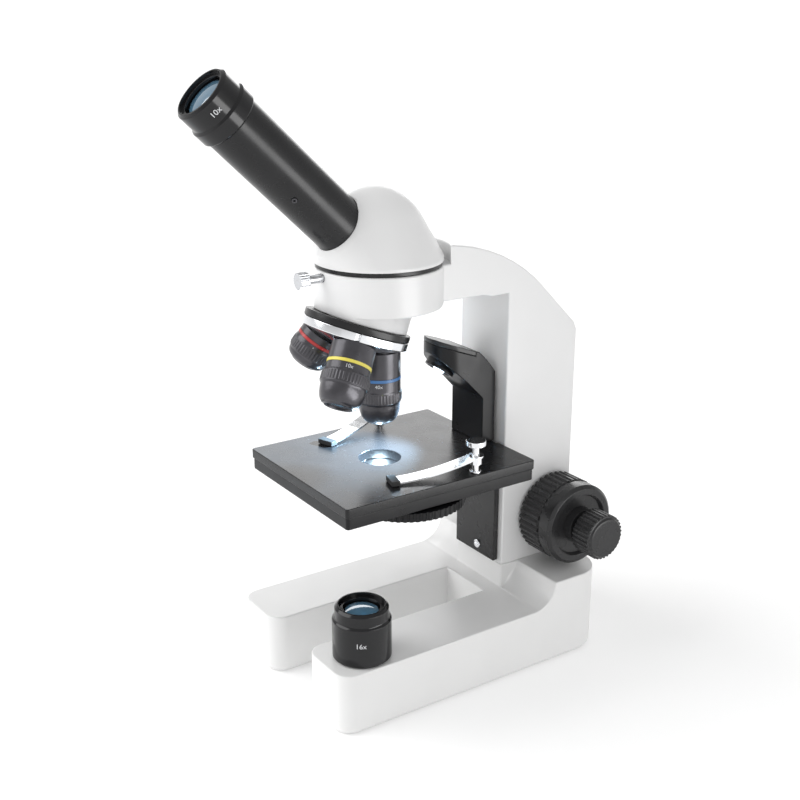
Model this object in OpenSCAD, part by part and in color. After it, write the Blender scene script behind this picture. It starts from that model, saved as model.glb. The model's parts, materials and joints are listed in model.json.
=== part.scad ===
// Monocular student microscope: forked base with a storage well, C-shaped arm,
// swivelling inclined head, three-lens turret, lit stage on a rack and pinion focus.
// Heights are above the table. Until optic() is applied, the optical axis is X = 0, Y = 0.

/* [Base] */
// Width across both legs
base_w = 97.4; // [92:0.2:110]
// Reach of the legs in front of the optical axis
base_front = 51.4; // [46:0.2:60]
// Reach of the base behind the optical axis
base_rear = 104; // [102:1:108]
// Height of the legs
leg_h = 30.4; // [28:0.2:32]
// Height of the raised block behind the legs
block_h = 43; // [42:0.5:44]
// Width of the gap between the legs
slot_w = 30.8; // [28:0.2:31]
// Wall thickness of the mouldings
wall = 2.5; // [2:0.1:3]

/* [Arm and head] */
// Width of the arm
arm_w = 37; // [36:0.5:40]
// Front face of the column, behind the optical axis
column_y = 60.7; // [60.7:0.1:62]
// Top of the fixed head ring
ring_top = 202; // [201.5:0.1:202.5]
// Outer radius of the head ring
ring_r = 29.4; // [29:0.1:30]
// Angle of the eyepiece tube above the table
tube_tilt = 43.5; // [43:0.5:46]
// Outer radius of the eyepiece tube
tube_r = 12.7; // [12.5:0.1:13.2]
// Barrel diameter of the eyepieces
barrel_d = 23.2; // [23.2]

/* [Turret] */
// Lean of the turret axis, equal to the half angle of its cone
turret_tilt = 20; // [19:0.5:20.5]
// Radius of the turret discs
turret_r = 24.5; // [24:0.5:25]

/* [Stage] */
// Width of the stage
stage_w = 88; // [84:1:90]
// Height of the stage top at rest
stage_top = 109; // [108:0.5:110]
// Thickness of the stage
stage_t = 10; // [9:0.5:10]
// Swing of the right clip towards the optical axis
right_clip_angle = 14.5; // [0:0.5:16]
// Swing of the left clip towards the optical axis
left_clip_angle = 18; // [0:0.5:22]

/* [Focus] */
// Radius of the coarse knobs
coarse_r = 21; // [19:0.5:21]
// Radius of the fine knobs
fine_r = 11.4; // [10:0.2:12]
// Teeth on the focus pinion
pinion_teeth = 16; // [16:2:18]
// Module of the focus rack and pinion
gear_module = 0.8; // [0.8]

/* [Hidden] */
$fn = 64;

// Clearances
run_gap = 0.08;      // radial gap of turning and sliding fits
seat_gap = 0.2;      // gap between faces that turn past each other
part_gap = 0.3;      // gap between moving neighbours

// Base
foot_h = 1.2;
plate_t = 2;
leg_corner_r = 8;
rear_corner_r = 16;
slot_rear = 52;
block_fillet = block_h - leg_h;
block_front = 71;
well_x = 34.2;
well_y = -32.2;
well_floor = 7;
well_r = barrel_d / 2 + 0.15;
base_screw_spots = [[21.5, -45], [41, 80]];
foot_spots = [[36, -40], [36, 71]];
foot_r = 6;
bay_w = 57;
bay_y0 = 56;
bay_y1 = 100;
door_ear = [35, 92];
door_ear_r = 5;
tray_floor = foot_h + plate_t;
tray_top = 20;
board_z = tray_top + 2;

// Switch in the rear face of the base
switch_x = -20;
switch_z = 30;
switch_axis_y = base_rear - 4;
rocker_r = 5.2;
rocker_len = 16;

// Arm: its back is an arc that runs into a straight slope of the same direction
back_arc_r = 90;
back_arc_y = 18;
back_arc_z = 121;
back_arc_end = 45;
throat_top = 185;
throat_r = 17;
cavity_w = 30;
cavity_y0 = column_y + 3;
cavity_y1 = base_rear - 2.4;
cover_z0 = 50;
cover_z1 = 155;
ring_bottom = 183.7;
ring_bore_r = 23;
ring_floor = 189.8;
light_r = 8;
head_sweep_r = 32.2;
lock_z = 199.3;
arm_bolt_spot = [9, 95];
arm_bolt_r = 1.75;

// Head and tube: the tube axis crosses the optical axis at tube_z
tube_z = 202;
flange_top = 204;
spigot_bottom = 190;
dome_r = 22.8;
dome_y = -2;
dome_z = 214.8;
collar_r = 16;
collar_end = 26.5;
tube_start = 20;
tube_end = 97.2;
tube_bore_r = barrel_d / 2 + 0.06;
eyepiece_r = 13.9;
eyepiece_len = 17;
barrel_len = 22;
rim_chamfer = 1.2;
eyepiece_grip = 7.6;
eyepiece_rim_r = 12.9;
spare_r = 13.6;
spare_len = 26;
spare_grip = 20;
spare_rim_r = 12.4;

// Turret: its axis and all objective axes meet on the optical axis at turret_z
turret_z = 207;
turret_base_top = 31.9;
turret_base_bottom = 35;
rotor_top = turret_base_bottom + seat_gap;
rotor_rim = rotor_top + 3.6;
rotor_flat_r = 5;
rotor_flat = rotor_rim + (turret_r - rotor_flat_r) * tan(turret_tilt);
seat = (rotor_rim + turret_r * tan(turret_tilt)) * cos(turret_tilt);
thread_r = 7.4;
thread_len = 3.4;
bore_r = 3;
band_h = 1.5;
objective_r = 10;

// Stage
stage_front = -45.2;
stage_rear = 58.7;
stage_lid_t = 4.5;
stage_hole_r = 10;
pin_x = 40.5;
pin_y = 26;
pin_top = 124.8;
pin_head_r = 4.6;
clip_len = 41;
clip_w = 7.5;
clip_t = 0.8;
clip_rise = 7;
disc_x = 17.5;
disc_y = 2.5;
disc_r = 28.5;
disc_z0 = 94;
disc_z1 = 98;
disc_hole_ring = norm([disc_x, disc_y]);
lower_lamp_z0 = 83;
lower_lamp_z1 = 93.6;
lower_lamp_r = 11.5;

// Slide
plate_w = 31;
plate_y0 = 57.6;
plate_y1 = 60.4;
plate_z0 = 45;
plate_z1 = 104;
neck_w = 11;
neck_z0 = 86;
neck_z1 = 104;
slot_z0 = 72.5;
slot_z1 = 122.5;
carriage_z0 = 45.5;
carriage_z1 = 105;
dovetail_y1 = 69.8;
limit_screw_x = 3;
limit_screw_z = plate_z0 + 5;

// Upper lamp on its post, aimed at the middle of the stage
post_w = 25;
post_y0 = 51.2;
post_y1 = 58.6;
nose_r = 11.8;
nose_y = 39.4;
lid_slope = 20;
lid_y = 34;
lid_z = 161;
lid_t = 2.4;
lid_end = 46.7;
lamp_y = 39;
lamp_z = 153.5;
lamp_tilt = 36;
lamp_r = 7.4;
lamp_depth = 8;

// Focus drive
knob_y = 91;
knob_z = 66.5;
coarse_x0 = 20;
coarse_x1 = 42.4;
fine_x0 = 48;
fine_x1 = 61.2;
coarse_shaft_r = 4;
fine_shaft_r = 2;
press_gap = 0.02;
pinion_pitch_r = pinion_teeth * gear_module / 2;
rack_y = knob_y - pinion_pitch_r;
tooth_pitch = PI * gear_module;
tooth_w = tooth_pitch / 2 - 0.15;
tooth_rise = 0.65;
tooth_drop = 0.85;
pressure_angle = 20;
gear_w = 8;
rack_teeth_below = 8;
rack_teeth_above = 7;
bushing_r = 6;

// Self-tapping case screw
case_screw_r = 1.2;
case_screw_len = 8;
case_head_r = 2.4;
case_head_h = 1.1;
recess_len = 3;
recess_w = 0.6;
recess_depth = 0.7;

// The optical axis stands in front of the middle of the plan outline
front_reach = (tube_end + eyepiece_len) * cos(tube_tilt) + (eyepiece_rim_r - rim_chamfer) * sin(tube_tilt);
rear_reach = knob_y + coarse_r;
axis_y = (front_reach - rear_reach) / 2;

white = "#f2f2f0";
black = "#1c1c1e";
dark = "#3a3a3c";
silver = "#c9cbcd";
glass = "#9fc4e0";

// ---------- frames ----------

module optic() {
    translate([0, axis_y, 0]) children();
}

module at_tube(l = 0) {
    translate([0, 0, tube_z])
        rotate([90 - tube_tilt, 0, 0])
            translate([0, 0, l]) children();
}

// Local -Z points down the turret axis
module at_turret() {
    translate([0, 0, turret_z]) rotate([-turret_tilt, 0, 0]) children();
}

// Local +Z points down the objective from its seat on the turret
module at_objective(place) {
    at_turret()
        rotate([0, 0, 120 * place])
            rotate([turret_tilt, 0, 0])
                translate([0, 0, -seat])
                    mirror([0, 0, 1]) children();
}

module at_focus() {
    translate([0, knob_y, knob_z]) rotate([0, 90, 0]) children();
}

module at_clip(side, angle) {
    translate([side * pin_x, pin_y, stage_top]) rotate([0, 0, -side * angle]) children();
}

module at_lamp() {
    translate([0, lamp_y, lamp_z]) rotate([-lamp_tilt, 0, 0]) children();
}

module both_sides() {
    for (side = [0, 1]) mirror([side, 0, 0]) children();
}

// ---------- shared shapes ----------

module round_rect(x0, y0, x1, y1, r) {
    translate([x0 + r, y0]) square([x1 - x0 - 2 * r, y1 - y0]);
    translate([x0, y0 + r]) square([x1 - x0, y1 - y0 - 2 * r]);
    for (x = [x0 + r, x1 - r], y = [y0 + r, y1 - r])
        translate([x, y]) circle(r);
}

module slab(z0, z1) {
    translate([0, 0, z0]) linear_extrude(z1 - z0) children();
}

// Extrudes a side view, drawn as [Y, Z], to the given width about X = 0
module side_view(w) {
    rotate([90, 0, 90]) linear_extrude(w, center = true) children();
}

module rod(r, z0, z1) {
    translate([0, 0, z0]) cylinder(r = r, h = z1 - z0);
}

module pipe(r_out, r_in, z0, z1) {
    difference() {
        rod(r_out, z0, z1);
        rod(r_in, z0 - 1, z1 + 1);
    }
}

// Ribbed grip: flat-topped ribs around a drum
module ribbed_disc(r, ribs, depth) {
    step = 360 / ribs;
    polygon([for (i = [0:ribs - 1], k = [0:3])
        let (rr = (k == 1 || k == 2) ? r : r - depth, a = step * (i + [0, 0.18, 0.55, 0.73][k]))
            [rr * cos(a), rr * sin(a)]]);
}

// Head above Z = 0, shank below
module screw(head_r, head_h, shank_r, shank_len) {
    rod(head_r, 0, head_h);
    rod(shank_r, -shank_len, 0.01);
}

// Case screw with a cross recess
module case_screw() {
    difference() {
        screw(case_head_r, case_head_h, case_screw_r, case_screw_len);
        for (turn = [0, 90]) rotate([0, 0, turn])
            translate([-recess_len / 2, -recess_w / 2, case_head_h - recess_depth])
                cube([recess_len, recess_w, recess_depth + 1]);
    }
}

// Double convex lens of radius r and thickness t whose lower pole is at z
module lens(r, z, t) {
    bulge_r = 3 * r;
    rotate_extrude() intersection() {
        translate([0, z + t - bulge_r]) circle(bulge_r, $fn = 240);
        translate([0, z + bulge_r]) circle(bulge_r, $fn = 240);
        translate([0, z]) square([r, t]);
    }
}

// ---------- base ----------

module base_plan(inset = 0) {
    both_sides()
        round_rect(slot_w / 2 + inset, -base_front + inset, base_w / 2 - inset, block_front + 5,
            leg_corner_r - inset);
    round_rect(-base_w / 2 + inset, slot_rear + inset, base_w / 2 - inset, base_rear - inset,
        rear_corner_r - inset);
}

// Raised rear block with a hollow curve down to the legs
module block_body(inset = 0) {
    intersection() {
        slab(foot_h, block_h - inset) base_plan(inset);
        difference() {
            translate([-base_w / 2, block_front - block_fillet + inset, 0])
                cube([base_w, base_rear, block_h]);
            translate([0, block_front - block_fillet, block_h])
                rotate([0, 90, 0])
                    cylinder(r = block_fillet + inset, h = base_w + 2, center = true);
        }
    }
}

module base_shell() {
    color(white) optic() difference() {
        union() {
            difference() {
                union() {
                    slab(foot_h, leg_h) base_plan();
                    block_body();
                    translate([-arm_w / 2, column_y, leg_h - wall])
                        cube([arm_w, base_rear - column_y, block_h - leg_h + wall]);
                }
                slab(0, leg_h - wall) base_plan(wall);
                block_body(wall);
            }
            translate([well_x, well_y, 0]) rod(well_r + 2, well_floor - 1.5, leg_h - 1);
            both_sides() for (spot = base_screw_spots)
                translate(spot) rod(3.2, foot_h + plate_t, leg_h - 1);
        }
        translate([well_x, well_y, 0]) rod(well_r, well_floor, leg_h + 1);
        both_sides() for (spot = base_screw_spots)
            translate(spot) rod(1.3, 0, 16);
        translate([-cavity_w / 2 + 3, cavity_y0, leg_h - wall - 1])
            cube([cavity_w - 6, 88 - cavity_y0, block_h]);
        at_arm_bolts() rod(arm_bolt_r + 0.35, leg_h, block_h + 1);
        switch_cutout();
    }
}

module switch_cutout() {
    translate([switch_x - 9.2, base_rear - wall - 1, switch_z - 6.2]) cube([18.4, wall + 2, 12.4]);
}

// Plan of the battery opening, with an ear at one rear corner for its screw
module bay_plan(gap = 0) {
    translate([-bay_w / 2 - gap, bay_y0 - gap]) square([bay_w + 2 * gap, bay_y1 - bay_y0 + 2 * gap]);
    translate(door_ear) circle(door_ear_r + gap);
    translate([bay_w / 2 - 1, door_ear[1] - door_ear_r - gap])
        square([door_ear[0] - bay_w / 2 + 1, 2 * (door_ear_r + gap)]);
}

module base_plate() {
    color(dark) optic() difference() {
        union() {
            difference() {
                slab(foot_h, foot_h + plate_t) base_plan(wall + 0.15);
                slab(0, foot_h + plate_t + 1) bay_plan(part_gap);
            }
            translate([door_ear[0] - door_ear_r, door_ear[1] - door_ear_r - 1.5, foot_h + plate_t])
                cube([door_ear_r * 2 + 0.8, door_ear_r * 2 + 1, 3]);
        }
        translate(door_ear) rod(case_screw_r + 0.05, 0, 20);
        both_sides() {
            for (spot = base_screw_spots) translate(spot) {
                rod(case_screw_r + 0.2, 0, 5);
                rod(case_head_r + 0.1, 0, foot_h + case_head_h + 0.1);
            }
            for (spot = foot_spots) translate(spot) rod(2.6, 0, 5);
        }
    }
}

module rubber_feet() {
    color(black) optic() both_sides() for (spot = foot_spots) translate(spot) {
        rod(foot_r, 0, foot_h);
        rod(2.5, foot_h - 0.01, foot_h + plate_t);
    }
}

module case_screws() {
    color(silver) optic() {
        both_sides() for (spot = base_screw_spots)
            translate([spot[0], spot[1], foot_h + case_head_h + 0.1]) mirror([0, 0, 1]) case_screw();
        translate([door_ear[0], door_ear[1], foot_h]) mirror([0, 0, 1]) case_screw();
        for (spot = cover_screw_spots)
            translate([spot[0], base_rear - case_head_h - 0.1, spot[1]])
                rotate([-90, 0, 0]) case_screw();
    }
}

module battery_door() {
    color(dark) optic() difference() {
        slab(foot_h, foot_h + plate_t - 0.1) bay_plan();
        translate(door_ear) rod(case_screw_r + 0.2, 0, 5);
        for (x = [-18:6:18]) translate([x - 1, bay_y1 - 14, 0]) cube([2, 10, foot_h + 0.6]);
    }
}

// Inverted tray over three cells lying side by side
module battery_tray() {
    color(dark) optic() {
        difference() {
            translate([-bay_w / 2 - 1, bay_y0 - 0.7, tray_floor])
                cube([bay_w + 2, bay_y1 - bay_y0 + 1.4, tray_top - tray_floor]);
            translate([-bay_w / 2, bay_y0 + 0.1, 0]) cube([bay_w, bay_y1 - bay_y0 - 0.2, tray_top - 1]);
        }
        for (x = [-23, 3], y = [bay_y0 + 6, bay_y0 + 28]) translate([x, y, 0])
            rod(2.2, tray_top - 0.5, board_z);
    }
}

module battery_contacts() {
    pitch = (bay_y1 - bay_y0) / 3;
    color(silver) optic() both_sides() for (i = [0:2])
        translate([bay_w / 2 - 0.9, bay_y0 + pitch * (i + 0.5) - 4, tray_floor + 3]) cube([0.8, 8, 9]);
}

module circuit_board() {
    color("#2f6b3c") optic() translate([-26, bay_y0 + 2, board_z + 0.02]) cube([32, 30, 1.6]);
}

module switch_bezel() {
    color(black) optic() difference() {
        union() {
            translate([switch_x - 10.5, base_rear + 0.05, switch_z - 7.5]) cube([21, 1, 15]);
            translate([switch_x - 9, switch_axis_y - 8, switch_z - 6]) cube([18, 12.1, 12]);
        }
        translate([switch_x, switch_axis_y, switch_z]) rotate([0, 90, 0])
            cylinder(r = rocker_r + 0.15, h = rocker_len + 0.4, center = true);
        translate([switch_x - rocker_len / 2 - 0.2, switch_axis_y, switch_z - rocker_r - 0.15])
            cube([rocker_len + 0.4, 10, 2 * rocker_r + 0.3]);
    }
}

// Half-round key with a shallow V across its face
module switch_rocker() {
    color(black) optic() translate([switch_x, switch_axis_y, switch_z]) difference() {
        rotate([0, 90, 0]) cylinder(r = rocker_r, h = rocker_len, center = true);
        for (side = [0, 1]) mirror([0, 0, side])
            translate([-rocker_len / 2 - 1, 4.1, 0]) rotate([-8, 0, 0])
                cube([rocker_len + 2, 10, 10]);
    }
}

// ---------- arm ----------

// Back of the arm from the top of its arc to the foot
module arm_outline() {
    slope_y = back_arc_y + back_arc_r * sin(back_arc_end);
    slope_z = back_arc_z + back_arc_r * cos(back_arc_end);
    polygon(concat(
        [[0, ring_bottom], [0, back_arc_z + back_arc_r * cos(12)]],
        [for (a = [0:5:back_arc_end])
            [back_arc_y + back_arc_r * sin(a), back_arc_z + back_arc_r * cos(a)]],
        [[base_rear - 1.5, slope_z - (base_rear - 1.5 - slope_y)],
         [base_rear, slope_z - (base_rear - slope_y) - 2],
         [base_rear, block_h], [column_y, block_h], [column_y, ring_bottom]]));
}

// The open throat of the C, with a rounded upper rear corner
module throat() {
    translate([-50, block_h - 1]) square([50 + column_y - throat_r, throat_top - block_h + 1]);
    translate([-50, block_h - 1]) square([50 + column_y, throat_top - throat_r - block_h + 1]);
    translate([column_y - throat_r, throat_top - throat_r]) circle(throat_r);
}

module arm() {
    color(white) optic() difference() {
        union() {
            difference() {
                side_view(arm_w) arm_outline();
                side_view(arm_w + 2) throat();
                rod(head_sweep_r, ring_top, ring_top + 20);
            }
            rod(ring_r, ring_bottom, ring_top);
            turret_boss();
        }
        rod(ring_bore_r, ring_floor, ring_top + 1);
        rod(light_r, 150, ring_floor + 1);
        translate([0, 0, lock_z]) rotate([90, 0, 0]) rod(1.68, 20, 40);
        column_cavity();
        translate([-neck_w / 2 - part_gap, column_y - 1, slot_z0])
            cube([neck_w + 2 * part_gap, 6, slot_z1 - slot_z0]);
        at_focus() cylinder(r = bushing_r + press_gap, h = arm_w + 2, center = true);
        at_turret() rod(2.9, -turret_base_top - 1, -turret_base_top + 7);
        cover_recess();
        at_arm_bolts() rod(arm_bolt_r + 0.05, block_h - 1, block_h + 7);
    }
}

// Slanted foot under the ring that carries the turret
module turret_boss() {
    intersection() {
        at_turret() rod(turret_r - 2, -turret_base_top, -8);
        rod(ring_r, 150, ring_bottom + 0.5);
    }
}

module column_cavity() {
    translate([-cavity_w / 2, cavity_y0, block_h + 3])
        cube([cavity_w, cavity_y1 - cavity_y0 - 2, cover_z1 - block_h - 3]);
    translate([-cavity_w / 2 + 3, cavity_y0, block_h - 1])
        cube([cavity_w - 6, 88 - cavity_y0, 10]);
    translate([-cavity_w / 2 + 2, cavity_y1 - 3, cover_z0 + 8])
        cube([cavity_w - 4, 10, cover_z1 - cover_z0 - 16]);
}

module cover_recess() {
    translate([-cavity_w / 2, cavity_y1, cover_z0]) cube([cavity_w, 5, cover_z1 - cover_z0]);
    for (spot = cover_screw_spots) translate([spot[0], 0, spot[1]])
        rotate([-90, 0, 0]) rod(case_screw_r + 0.05, cavity_y1 - 6, cavity_y1 + 1);
}

cover_screw_spots = [for (x = [-12.2, 12.2], z = [cover_z0 + 4, cover_z1 - 4]) [x, z]];

module arm_back_cover() {
    color(white) optic() difference() {
        translate([-cavity_w / 2 + 0.2, cavity_y1 + 0.05, cover_z0 + 0.2])
            cube([cavity_w - 0.4, base_rear - cavity_y1 - 0.05, cover_z1 - cover_z0 - 0.4]);
        for (spot = cover_screw_spots) translate([spot[0], 0, spot[1]]) rotate([-90, 0, 0]) {
            rod(case_screw_r + 0.2, cavity_y1 - 1, base_rear + 1);
            rod(case_head_r + 0.1, base_rear - case_head_h - 0.1, base_rear + 1);
        }
    }
}

// The two bolts that come up through the base into the foot of the arm
module at_arm_bolts() {
    both_sides() translate(arm_bolt_spot) children();
}

module arm_bolts() {
    color(silver) optic() at_arm_bolts()
        translate([0, 0, block_h - wall - 0.05]) mirror([0, 0, 1]) screw(3.5, 2.5, arm_bolt_r, 8);
}

module head_lock_screw() {
    color(silver) optic() translate([0, 0, lock_z]) rotate([90, 0, 0]) {
        slab(37, 41.6) ribbed_disc(3.8, 20, 0.4);
        rod(2, ring_r + 1, 37.01);
        rod(1.6, ring_bore_r + 0.05, ring_r + 1.01);
    }
}

// ---------- head ----------

module head_dovetail() {
    color(black) optic() difference() {
        union() {
            rod(ring_r - 0.8, ring_top + seat_gap, flange_top);
            rod(ring_bore_r - run_gap, spigot_bottom, flange_top);
        }
        rod(14, spigot_bottom - 1, flange_top + 1);
        translate([0, 0, lock_z]) rotate_extrude()
            polygon([[ring_bore_r - 1.4, 0], [ring_bore_r + 1, -2.4], [ring_bore_r + 1, 2.4]]);
    }
}

module dome(inset = 0) {
    hull() {
        rod(ring_r - inset, flange_top + 0.02, flange_top + 2);
        translate([0, dome_y, dome_z]) sphere(dome_r - inset);
        at_tube() rod(collar_r - inset, collar_end - 2, collar_end - inset);
    }
}

module head_shell() {
    color(white) optic() difference() {
        intersection() {
            dome($fn = 72);
            slab(flange_top + 0.02, tube_z + 60) square(4 * ring_r, center = true);
        }
        difference() {
            translate([0, 0, -0.1]) dome(2.5, $fn = 48);
            at_tube() rod(tube_r + 2.2, tube_start - 2, 40);
        }
        at_tube() rod(tube_r + 0.05, tube_start - 3, 40);
    }
}

// Five-sided prism that turns the light from the optical axis into the tube
module prism() {
    color(glass) optic() side_view(18)
        polygon([[-8, 206.6], [8.5, 206.6], [8.5, 214], [1.5, 222], [-8, 214.5]]);
}

module prism_mount() {
    color(dark) optic() difference() {
        translate([-12, -10, flange_top + 0.05]) cube([24, 21, 11]);
        translate([-9.1, -12, flange_top + 1.4]) cube([18.2, 20.7, 20]);
        rod(light_r, 200, 210);
        at_tube() rod(tube_r + 2.4, 14, 40);
    }
}

module eyepiece_tube() {
    color(black) optic() at_tube() difference() {
        pipe(tube_r, tube_bore_r, tube_start, tube_end);
        at_setscrew() rod(1.3, -3, 3);
    }
}

// Radial place of the grub screw, on the lower right of the tube
module at_setscrew() {
    rotate([0, 0, -38]) translate([tube_r, 0, 58]) rotate([0, 90, 0]) children();
}

module tube_setscrew() {
    color(silver) optic() at_tube() at_setscrew() difference() {
        rod(1.2, -1.5, 0.4);
        rod(0.6, -0.4, 1, $fn = 6);
    }
}

// Eyepiece in its own frame: shoulder at Z = 0, barrel below, grip collar and narrower rim above
module eyepiece(grip_r, grip_len, rim_r, head_len, bore_r) {
    rotate_extrude() difference() {
        union() {
            translate([0, -barrel_len]) square([barrel_d / 2, barrel_len + 1]);
            polygon([[0, 0.1], [grip_r - 0.8, 0.1], [grip_r, 0.9], [grip_r, grip_len - 0.8],
                [grip_r - 0.8, grip_len], [rim_r, grip_len + 0.4], [rim_r, head_len - rim_chamfer],
                [rim_r - rim_chamfer, head_len], [0, head_len]]);
        }
        translate([-1, -barrel_len - 1]) square([bore_r + 1, barrel_len + head_len + 2]);
        translate([-1, head_len - 1.6]) square([rim_r - 0.9, 3]);
        translate([-1, -barrel_len - 1]) square([barrel_d / 2 - 0.2, 3]);
    }
}

module eyepiece_body() {
    color(black) optic() at_tube(tube_end)
        eyepiece(eyepiece_r, eyepiece_grip, eyepiece_rim_r, eyepiece_len, 9.5);
}

module eyepiece_lenses() {
    color(glass) optic() at_tube(tube_end) {
        lens(9.4, eyepiece_len - 4.5, 2.6);
        lens(9.4, -barrel_len + 3, 2.6);
    }
}

module at_well() {
    translate([well_x, well_y, leg_h]) children();
}

module spare_eyepiece_body() {
    color(black) optic() at_well() eyepiece(spare_r, spare_grip, spare_rim_r, spare_len, 8.5);
}

module spare_eyepiece_lenses() {
    color(glass) optic() at_well() {
        lens(8.4, spare_len - 4.5, 2.4);
        lens(8.4, -barrel_len + 3, 2.4);
    }
}

// ---------- turret and objectives ----------

module turret_base() {
    color(black) optic() difference() {
        at_turret() {
            rod(turret_r, -turret_base_bottom, -turret_base_top);
            translate([-2.4, turret_r - 3, -turret_base_bottom]) cube([4.8, 3.28, 2.6]);
        }
        rod(light_r, 150, 200);
        at_turret() rod(2.9, -40, -30);
    }
}

module turret_rotor() {
    color(silver) optic() difference() {
        at_turret() mirror([0, 0, 1]) rotate_extrude() polygon([
            [0, rotor_top], [turret_r, rotor_top], [turret_r, rotor_rim],
            [rotor_flat_r, rotor_flat], [0, rotor_flat]]);
        for (place = [0:2]) at_objective(place) rod(thread_r + run_gap, -16, 4);
        at_turret() rod(3.06, -60, -30);
        at_turret() for (place = [0:2]) rotate([0, 0, 120 * place])
            translate([0, turret_r, 0]) rod(0.9, -60, -30, $fn = 24);
    }
}

module turret_pivot() {
    head_z = rotor_flat + 0.1;
    color(silver) optic() at_turret() {
        rod(4.4, -head_z - 1.6, -head_z);
        rod(2.98, -head_z - 0.01, -rotor_top + 0.05);
        rod(2.85, -rotor_top, -turret_base_top + 6);
    }
}

// Flat spring behind the turret, screwed to a lug, whose end bears on the rim notches
module turret_detent() {
    lug_y = turret_r + 0.3;
    color(silver) optic() at_turret() {
        translate([-2.4, lug_y, -rotor_rim + 1]) cube([4.8, 0.6, 4]);
        translate([0, lug_y, -turret_base_top - 1.3]) rotate([-90, 0, 0]) rod(1.5, 0.5, 1.4);
    }
}

// Body with a threaded stub above the seat, a groove for the colour band, a grip and a rounded nose
module objective(len, band_at, grip_from, grip_r, nose_r) {
    grip_end = grip_from + 5;
    round_from = grip_end + 0.5;
    round_end = len - 0.8;
    nose_side = nose_r + 0.8;
    rotate_extrude() difference() {
        polygon(concat(
            [[0, -thread_len], [thread_r, -thread_len], [thread_r, 0], [objective_r, 0],
             [objective_r, band_at], [objective_r - 0.4, band_at],
             [objective_r - 0.4, band_at + band_h], [objective_r, band_at + band_h],
             [objective_r, grip_from - 1], [grip_r, grip_from], [grip_r, grip_end]],
            [for (a = [0:15:90])
                [nose_side + (grip_r - 0.5 - nose_side) * cos(a),
                 round_from + (round_end - round_from) * sin(a)]],
            [[nose_r, len], [0, len]]));
        translate([0, -thread_len - 1]) square([bore_r, thread_len + len + 2]);
        translate([0, -thread_len - 1]) square([5.5, 6]);
        translate([0, len - 0.8]) square([nose_r - 1, 3]);
    }
}

// Length, place of the band, start of the grip, grip radius and nose radius of each objective
spec_4x = [16.4, 3.2, 6.6, 10.3, 6.4];
spec_10x = [28, 8, 13.5, 10.8, 6.4];
spec_40x = [35, 12, 19, 10.3, 5.2];

module objective_body(place, spec) {
    color(dark) optic() at_objective(place)
        translate([0, 0, 0.05]) objective(spec[0], spec[1], spec[2], spec[3], spec[4]);
}

module band(place, spec, tint) {
    color(tint) optic() at_objective(place)
        pipe(objective_r + 0.1, objective_r - 0.36, spec[1] + 0.1, spec[1] + band_h);
}

module objective_4x() { objective_body(1, spec_4x); }
module objective_10x() { objective_body(2, spec_10x); }
module objective_40x() { objective_body(0, spec_40x); }
module band_4x() { band(1, spec_4x, "#b03030"); }
module band_10x() { band(2, spec_10x, "#e8d44a"); }
module band_40x() { band(0, spec_40x, "#3a6ea8"); }

module objective_lenses() {
    color(glass) optic() {
        for (item = [[0, spec_40x], [1, spec_4x], [2, spec_10x]])
            at_objective(item[0]) rod(bore_r - 0.05, item[1][0] - 3, item[1][0] - 1);
    }
}

// ---------- stage ----------

module stage_outline(inset = 0) {
    difference() {
        round_rect(-stage_w / 2 + inset, stage_front + inset, stage_w / 2 - inset, stage_rear - inset,
            1.5);
        translate([-plate_w / 2 - 0.2, plate_y0 - 0.1]) square([plate_w + 0.4, 10]);
    }
}

module stage_plate() {
    color(black) optic() difference() {
        slab(stage_top - stage_lid_t, stage_top) stage_outline();
        rod(stage_hole_r, 90, 120);
        both_sides() translate([pin_x, pin_y, 0]) rod(1.7, 90, 120);
    }
}

module stage_frame() {
    color(black) optic() difference() {
        union() {
            slab(stage_top - stage_t, stage_top - stage_lid_t - 0.02) stage_outline(0.5);
            translate([-12, 42, stage_top - stage_t - 6]) cube([24, plate_y0 - 42.05, 6.5]);
        }
        rod(stage_hole_r, 90, 120);
        both_sides() translate([pin_x, pin_y, 0]) rod(1.7, 90, 120);
        translate([disc_x, disc_y, 0]) rod(1.55, 90, 103);
    }
}

module slide_plate() {
    color(dark) optic() difference() {
        translate([-plate_w / 2, plate_y0, plate_z0])
            cube([plate_w, plate_y1 - plate_y0, plate_z1 - plate_z0]);
        translate([-neck_w / 2 - 0.05, plate_y0 - 1, neck_z0 - 0.05])
            cube([neck_w + 0.1, 5, neck_z1 - neck_z0 + 0.1]);
        translate([limit_screw_x, 0, limit_screw_z]) rotate([-90, 0, 0])
            rod(1.5, plate_y0 - 1, plate_y1 + 1);
    }
}

// Round-headed screw with a straight slot
module limit_screw() {
    head_r = 2.2;
    color(silver) optic() translate([limit_screw_x, plate_y0, limit_screw_z]) rotate([90, 0, 0])
        difference() {
            screw(head_r, 1, 1.4, plate_y1 - plate_y0);
            translate([-head_r - 1, -0.25, 0.5]) cube([2 * head_r + 2, 0.5, 1]);
        }
}

// Neck through the column wall, dovetail behind it, and the rack on its back
module slide_carriage() {
    color(dark) optic() {
        translate([-neck_w / 2, plate_y0 + 0.02, neck_z0])
            cube([neck_w, cavity_y0 - plate_y0 + 0.3, neck_z1 - neck_z0]);
        slab(carriage_z0, carriage_z1) {
            polygon([[-6, cavity_y0 + 0.2], [6, cavity_y0 + 0.2],
                [9, dovetail_y1], [-9, dovetail_y1]]);
            translate([-gear_w / 2, dovetail_y1 - 0.1])
                square([gear_w, rack_y - tooth_drop - dovetail_y1 + 0.1]);
        }
        rack_teeth();
    }
}

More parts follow.
